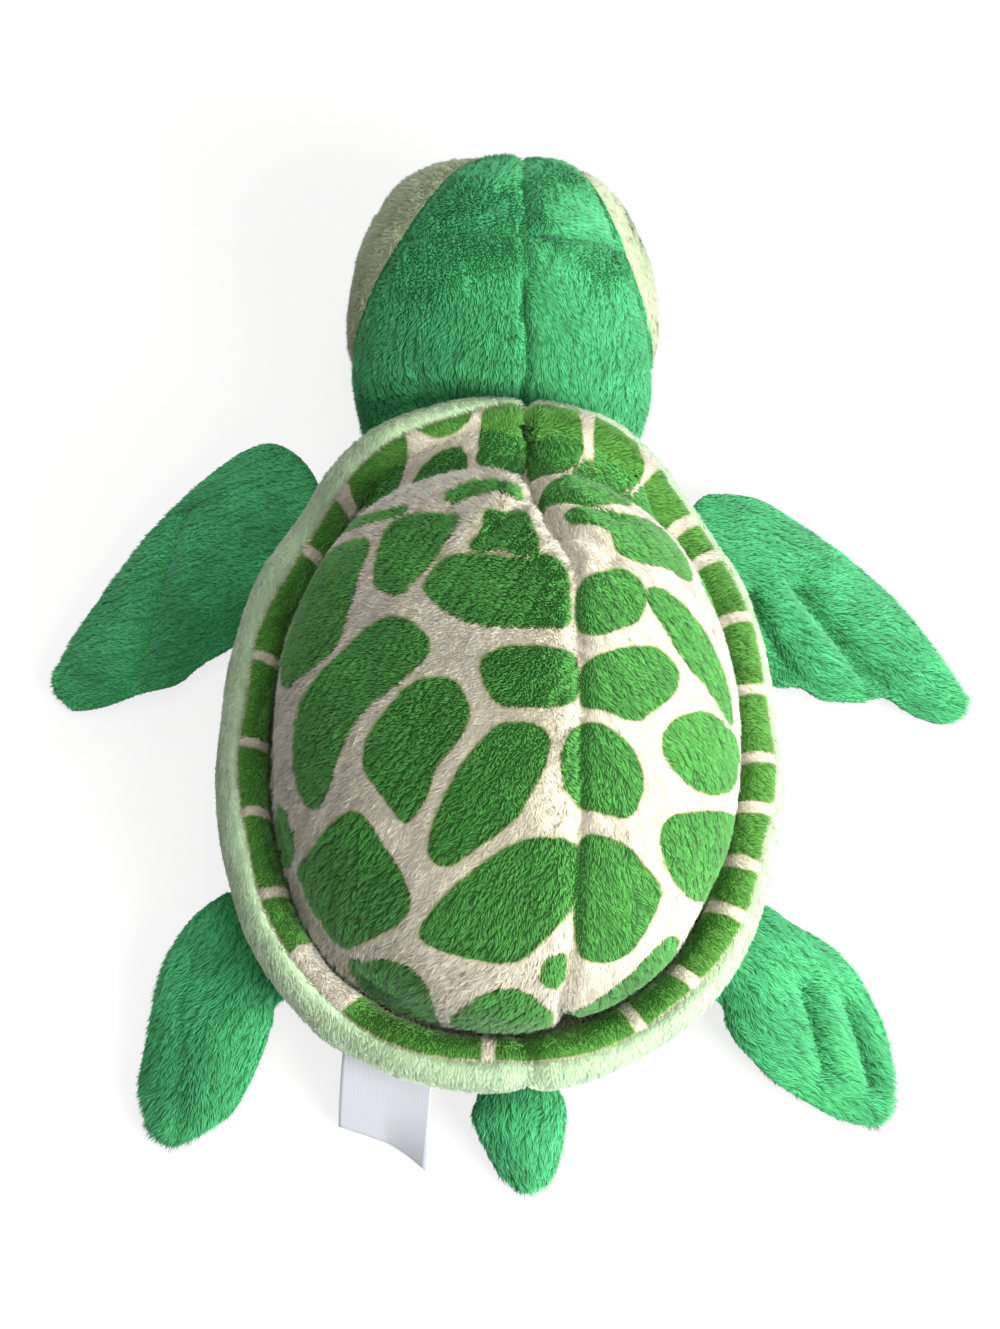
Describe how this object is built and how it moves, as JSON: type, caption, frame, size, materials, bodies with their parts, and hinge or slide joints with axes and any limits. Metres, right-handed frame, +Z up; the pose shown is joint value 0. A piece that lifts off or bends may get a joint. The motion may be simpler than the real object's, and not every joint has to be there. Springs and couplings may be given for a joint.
{
  "type": "plush sea turtle",
  "caption": "Stuffed plush sea turtle with a printed shell, rolled rim, mint green head and flippers, lying on its belly.",
  "frame": {"origin": "on the table under the middle of the part's box in plan", "axes": "+Z up from the belly, +Y towards the nose, +X towards the turtle's right side"},
  "size_m": [0.193, 0.224, 0.063],
  "materials": {
    "plush_print": "short-pile printed plush, rounded green scutes on cream",
    "plush_pale": "short-pile plush, pale green-cream",
    "plush_mint": "short-pile plush, mint green",
    "fibre_filling": "loose polyester fibre, matt",
    "satin_label": "smooth satin ribbon, left bare",
    "black_plastic": "polished",
    "white_plastic": "moulded, matt"
  },
  "bodies": {
    "trunk": {"body_back_panel": "plush_mint", "body_belly_panel": "plush_pale", "body_filling": "fibre_filling", "shell_underside_panel": "plush_pale", "shell_dome_panel_left": "plush_print", "shell_dome_panel_right": "plush_print", "shell_dome_filling": "fibre_filling", "shell_rim_strip_left": "plush_print", "shell_rim_strip_right": "plush_print", "shell_edging_left": "plush_pale", "shell_edging_right": "plush_pale", "shell_rim_filling_left": "fibre_filling", "shell_rim_filling_right": "fibre_filling"},
    "head": {"head_hood_left": "plush_mint", "head_hood_right": "plush_mint", "head_brow_left": "plush_mint", "head_brow_right": "plush_mint", "head_face_left": "plush_pale", "head_face_right": "plush_pale", "head_muzzle_panel": "plush_pale", "head_throat_panel": "plush_pale", "head_filling": "fibre_filling", "eye_left": "black_plastic", "eye_right": "black_plastic", "eye_washer_left": "white_plastic", "eye_washer_right": "white_plastic"},
    "front_flipper_left": {"front_flipper_left_top": "plush_mint", "front_flipper_left_bottom": "plush_mint", "front_flipper_left_filling": "fibre_filling"},
    "front_flipper_right": {"front_flipper_right_top": "plush_mint", "front_flipper_right_bottom": "plush_mint", "front_flipper_right_filling": "fibre_filling"},
    "rear_flipper_left": {"rear_flipper_left_top": "plush_mint", "rear_flipper_left_bottom": "plush_mint", "rear_flipper_left_filling": "fibre_filling"},
    "rear_flipper_right": {"rear_flipper_right_top": "plush_mint", "rear_flipper_right_bottom": "plush_mint", "rear_flipper_right_filling": "fibre_filling"},
    "tail": {"tail_top": "plush_mint", "tail_bottom": "plush_mint", "tail_filling": "fibre_filling"},
    "label": {"sewn_in_label": "satin_label"}
  },
  "joints": [
    {"name": "neck_nod", "type": "hinge", "parent": "trunk", "child": "head", "pos_m": [-0.00084, 0.04821, 0.014], "axis": [1, 0, 0], "range_deg": [-18, 6]},
    {"name": "front_flipper_left_flap", "type": "hinge", "parent": "trunk", "child": "front_flipper_left", "pos_m": [-0.04514, 0.01939, 0.0085], "axis": [0.3512, 0.9363, 0], "range_deg": [-40, 35]},
    {"name": "front_flipper_right_flap", "type": "hinge", "parent": "trunk", "child": "front_flipper_right", "pos_m": [0.04183, 0.01718, 0.0085], "axis": [0.3044, -0.9526, 0], "range_deg": [-40, 35]},
    {"name": "rear_flipper_left_flap", "type": "hinge", "parent": "trunk", "child": "rear_flipper_left", "pos_m": [-0.04719, -0.06567, 0.0085], "axis": [-0.2184, 0.9759, 0], "range_deg": [-40, 30]},
    {"name": "rear_flipper_right_flap", "type": "hinge", "parent": "trunk", "child": "rear_flipper_right", "pos_m": [0.04312, -0.06567, 0.0085], "axis": [-0.2184, -0.9759, 0], "range_deg": [-40, 30]},
    {"name": "tail_flap", "type": "hinge", "parent": "trunk", "child": "tail", "pos_m": [0.00177, -0.09419, 0.0085], "axis": [-0.9976, -0.0698, 0], "range_deg": [-35, 25]},
    {"name": "label_fold", "type": "hinge", "parent": "trunk", "child": "label", "pos_m": [-0.02253, -0.08769, 0.01534], "axis": [-0.9945, 0.1045, 0], "range_deg": [-20, 35]}
  ]
}
